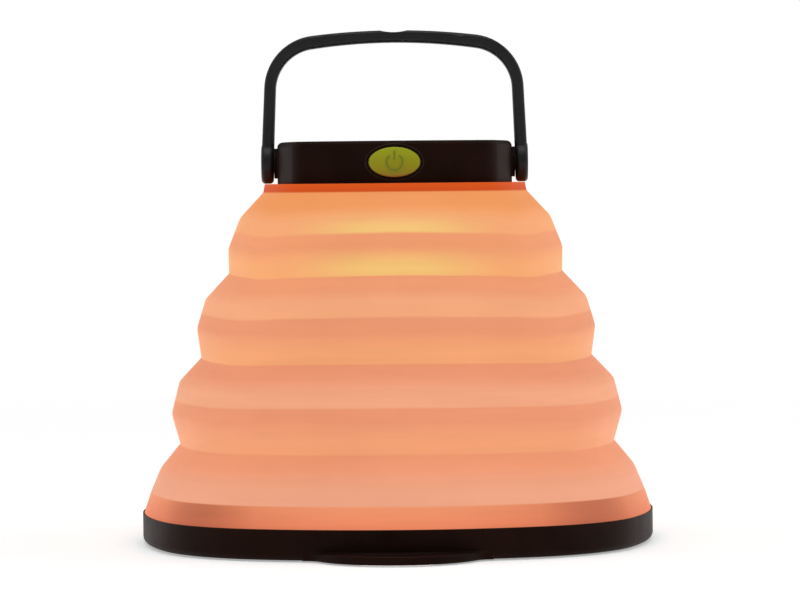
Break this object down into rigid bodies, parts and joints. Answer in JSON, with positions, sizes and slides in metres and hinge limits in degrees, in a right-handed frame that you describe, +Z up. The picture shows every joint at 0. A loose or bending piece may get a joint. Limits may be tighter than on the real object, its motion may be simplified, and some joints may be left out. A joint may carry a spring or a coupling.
{
  "type": "collapsible camping lantern",
  "caption": "Collapsible camping lantern: pleated translucent silicone shade between a square base tray and a small cap with battery, lamp, push button and folding bail.",
  "frame": {"origin": "centre of the square base, on the surface that the lantern stands on", "axes": "+Z up through the cap, -Y towards the front with the power button and the lanyard loop, +X to the right seen from the front"},
  "size_m": [0.127, 0.1375, 0.1267],
  "materials": {
    "black_plastic": "fine satin texture",
    "handle_plastic": "satin",
    "shade_silicone": "frosted translucent silicone, lit amber",
    "green_button": "semi-gloss",
    "white_plastic": "matt reflective white",
    "chassis_plastic": "matt",
    "screw_steel": "zinc plated",
    "black_rubber": "matt",
    "foot_rubber": "matt",
    "solar_cells": "dark blue laminate",
    "clear_window": "clear, gloss",
    "circuit_board": "solder mask",
    "chip_plastic": "matt",
    "switch_plastic": "matt",
    "socket_steel": "nickel plated",
    "cell_pouch": "foil pouch",
    "foam_tape": "closed-cell foam",
    "lead_wire": "insulated wire",
    "board_aluminium": "white mask over aluminium",
    "led_phosphor": "phosphor, lit",
    "opal_lens": "opal diffuser"
  },
  "bodies": {
    "base": {"base_tray": "black_plastic", "lower_clamp_ring": "white_plastic", "reflector_plate": "white_plastic", "base_screws": "screw_steel", "rubber_foot_1": "foot_rubber", "rubber_foot_2": "foot_rubber", "rubber_foot_3": "foot_rubber", "rubber_foot_4": "foot_rubber", "bellows": "shade_silicone"},
    "cap": {"cap_housing": "black_plastic", "cap_base_plate": "chassis_plastic", "upper_clamp_plate": "white_plastic", "cap_screws": "screw_steel", "cap_seal": "black_rubber", "solar_panel": "solar_cells", "solar_window": "clear_window", "main_board": "circuit_board", "board_chips": "chip_plastic", "power_switch": "switch_plastic", "button_seal": "black_rubber", "charging_socket": "socket_steel", "socket_tongue": "chip_plastic", "battery_cell": "cell_pouch", "battery_pad": "foam_tape", "battery_leads": "lead_wire", "solar_leads": "lead_wire", "led_leads": "lead_wire", "led_board": "board_aluminium", "led_chips": "led_phosphor", "led_lens": "opal_lens"},
    "handle": {"carry_handle": "handle_plastic"},
    "button": {"power_button": "green_button", "switch_plunger": "switch_plastic"},
    "flap": {"port_flap": "black_rubber"}
  },
  "joints": [
    {"name": "collapse", "type": "slide", "parent": "base", "child": "cap", "axis": [0, 0, 1], "range_m": [-0.076, 0], "deforming": ["bellows"]},
    {"name": "handle_swing", "type": "hinge", "parent": "cap", "child": "handle", "pos_m": [0, 0, 0.0939], "axis": [1, 0, 0], "range_deg": [-90, 90]},
    {"name": "button_press", "type": "slide", "parent": "cap", "child": "button", "axis": [0, 1, 0], "range_m": [0, 0.0006], "stiffness_N_per_m": 400},
    {"name": "port_flap_open", "type": "hinge", "parent": "cap", "child": "flap", "pos_m": [0, 0.02875, 0.09005], "axis": [-1, 0, 0], "range_deg": [0, 90]}
  ]
}
